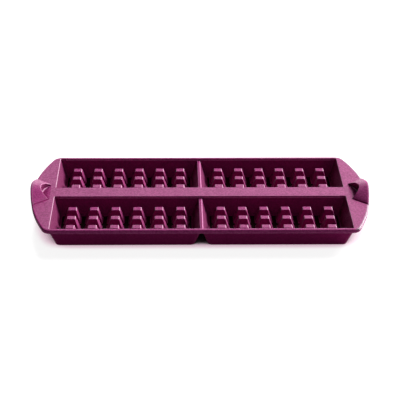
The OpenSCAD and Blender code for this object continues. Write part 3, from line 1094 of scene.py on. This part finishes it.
def studio_floor():
    """Pale floor, white to the camera, with the mould's soft shadow, partly cast by the lamp and partly
    painted from ambient occlusion, and a pink bounce painted close to it
    """
    bm = bmesh.new()
    bmesh.ops.create_grid(bm, x_segments=1, y_segments=1, size=FLOOR_SIZE)
    mesh = bpy.data.meshes.new("studio_floor")
    bm.to_mesh(mesh)
    bm.free()
    mat = bpy.data.materials.new("floor_paper")
    mat.use_nodes = True
    tree = mat.node_tree
    shader = tree.nodes["Principled BSDF"]
    shader.inputs["Roughness"].default_value = 0.2
    shader.inputs["IOR"].default_value = 1.4
    shader.inputs["Emission Strength"].default_value = FLOOR_GLOW
    tones = bpy.context.scene.mould_finish
    shader.inputs["Base Color"].default_value = (*tones.floor_tone, 1)
    path = tree.nodes.new("ShaderNodeLightPath")
    link = tree.links.new
    seen = math_node(tree, "MAXIMUM", path.outputs["Is Camera Ray"], path.outputs["Is Glossy Ray"])
    seen = math_node(tree, "MAXIMUM", seen, path.outputs["Is Transmission Ray"])
    # The floor's glow fades to black close to the mould by ambient occlusion, through a pink stop: painted
    # shadow and painted bounce light
    near = tree.nodes.new("ShaderNodeAmbientOcclusion")
    near.samples = 16
    near.inputs["Distance"].default_value = FLOOR_REACH
    clear = tree.nodes.new("ShaderNodeValToRGB")
    clear.color_ramp.interpolation = "EASE"
    stops = clear.color_ramp.elements
    stops[0].position, stops[0].color = SHADOW_AT, (0, 0, 0, 1)
    stops[1].position, stops[1].color = CLEAR_AT, (1, 1, 1, 1)
    fringe = stops.new(BOUNCE_TINT_AT)
    fringe.color = (*tones.floor_bounce_tint, 1)
    link(near.outputs["AO"], clear.inputs["Fac"])
    tinted = tree.nodes.new("ShaderNodeMix")
    tinted.data_type = "RGBA"
    tinted.inputs[6].default_value = (0, 0, 0, 1)
    link(seen, tinted.inputs["Factor"])
    link(clear.outputs["Color"], tinted.inputs[7])
    link(tinted.outputs[2], shader.inputs["Emission Color"])
    mesh.materials.append(mat)
    floor = bpy.data.objects.new("studio_floor", mesh)
    bpy.context.scene.collection.objects.link(floor)


def softbox(name, azimuth, height, distance, wide, high, watts):
    """Area light aimed at the mould; azimuth from the back towards the right and height, in degrees"""
    lamp = bpy.data.lights.new(name, "AREA")
    lamp.shape = "RECTANGLE"
    lamp.size, lamp.size_y, lamp.energy = wide, high, watts
    box = bpy.data.objects.new(name, lamp)
    turn, lift = math.radians(azimuth), math.radians(height)
    away = Vector((math.sin(turn) * math.cos(lift), math.cos(turn) * math.cos(lift), math.sin(lift)))
    box.location = away * distance
    box.rotation_euler = (-away).to_track_quat("-Z", "Y").to_euler()
    bpy.context.scene.collection.objects.link(box)


def studio_world():
    """White to the camera; to the mould a low sheet behind, a dim side light and a faint front fill"""
    world = bpy.data.worlds.new("studio")
    bpy.context.scene.world = world
    world.use_nodes = True
    tree = world.node_tree
    back = tree.nodes["Background"]
    back.inputs["Color"].default_value = (1, 1, 1, 1)
    path = tree.nodes.new("ShaderNodeLightPath")
    where = tree.nodes.new("ShaderNodeTexCoord")
    split = tree.nodes.new("ShaderNodeSeparateXYZ")
    link = tree.links.new
    link(where.outputs["Generated"], split.inputs[0])

    def ramp(axis, start, end, low, high):
        """Smooth change from low to high along an axis of the sky"""
        node = tree.nodes.new("ShaderNodeMapRange")
        node.interpolation_type = "SMOOTHSTEP"
        for label, value in (("From Min", start), ("From Max", end), ("To Min", low), ("To Max", high)):
            node.inputs[label].default_value = value
        link(split.outputs[axis], node.inputs["Value"])
        return node.outputs["Result"]

    sheet = math_node(tree, "MULTIPLY", ramp("Y", 0.2, 0.75, 0, 1.55), ramp("Z", 0.40, 0.63, 1, 0.03))
    sheet = math_node(tree, "MULTIPLY", sheet, ramp("X", -0.36, -0.04, 0, 0.9))
    fill = math_node(tree, "MULTIPLY", ramp("Y", -0.8, -0.3, 0.1, 0), ramp("Z", 0.35, 0.6, 1, 0))
    fill = math_node(tree, "MULTIPLY", fill, ramp("X", -0.3, 0.2, 0.3, 1))
    glow = math_node(tree, "ADD", sheet, ramp("X", -0.7, 0.7, 0.02, 0.13))
    glow = math_node(tree, "ADD", glow, fill)
    link(math_node(tree, "MAXIMUM", path.outputs["Is Camera Ray"], glow), back.inputs["Strength"])


def camera():
    """Camera at the photograph's angle: well above the deck, a long lens, slightly left of centre"""
    lens = bpy.data.cameras.new("view")
    lens.sensor_width = SENSOR_MM
    lens.lens = SENSOR_MM * FOCAL_PX / PHOTO_PX
    lens.clip_end = 20
    eye = bpy.data.objects.new("view", lens)
    tilt, turn, roll = map(math.radians, (CAMERA_TILT, CAMERA_TURN, CAMERA_ROLL))
    ahead = Vector((-math.sin(turn) * math.cos(tilt), math.cos(turn) * math.cos(tilt), -math.sin(tilt)))
    right = Vector((math.cos(turn), math.sin(turn), 0))
    down = ahead.cross(right)
    across = right * math.cos(roll) + down * math.sin(roll)
    below = down * math.cos(roll) - right * math.sin(roll)
    place = Vector((CAMERA_X, CAMERA_Y, CAMERA_ABOVE_DECK + form().top))
    axes = Matrix((across, -below, -ahead)).transposed()
    eye.matrix_world = Matrix.Translation(place) @ axes.to_4x4()
    bpy.context.scene.collection.objects.link(eye)
    bpy.context.scene.camera = eye


class MOULD_OT_stage(bpy.types.Operator):
    """Sets up the floor, the soft light and the camera"""
    bl_idname = "mould.stage"
    bl_label = "Stage"

    def execute(self, context):
        context.scene.view_settings.view_transform = "Standard"
        studio_floor()
        studio_world()
        softbox("key", azimuth=47, height=27, distance=2.6, wide=0.9, high=0.9, watts=124)
        camera()
        return {"FINISHED"}


STEPS = (MOULD_OT_deck, MOULD_OT_lips, MOULD_OT_grips, MOULD_OT_wells, MOULD_OT_floors, MOULD_OT_pegs,
         MOULD_OT_ridges, MOULD_OT_stage)


class MOULD_PT_sidebar(bpy.types.Panel):
    """Lists the steps that build the mould"""
    bl_idname = "MOULD_PT_sidebar"
    bl_label = "Waffle-bar mould"
    bl_space_type = "VIEW_3D"
    bl_region_type = "UI"
    bl_category = "Mould"

    def draw(self, context):
        for step in STEPS:
            self.layout.operator(step.bl_idname)


CLASSES = (MouldSizes, MouldFinish) + STEPS + (MOULD_PT_sidebar,)


def register():
    """Registers the classes and the scene's properties"""
    for cls in CLASSES:
        bpy.utils.register_class(cls)
    bpy.types.Scene.mould_sizes = PointerProperty(type=MouldSizes)
    bpy.types.Scene.mould_finish = PointerProperty(type=MouldFinish)


def unregister():
    """Undoes register"""
    del bpy.types.Scene.mould_finish
    del bpy.types.Scene.mould_sizes
    for cls in reversed(CLASSES):
        bpy.utils.unregister_class(cls)


def main():
    """Builds the mould and its stage"""
    register()
    bpy.ops.mould.deck()
    bpy.ops.mould.lips()
    bpy.ops.mould.grips()
    bpy.ops.mould.wells()
    bpy.ops.mould.floors()
    bpy.ops.mould.pegs()
    bpy.ops.mould.ridges()
    bpy.ops.mould.stage()
    bpy.context.view_layer.update()


if __name__ == "__main__":
    main()
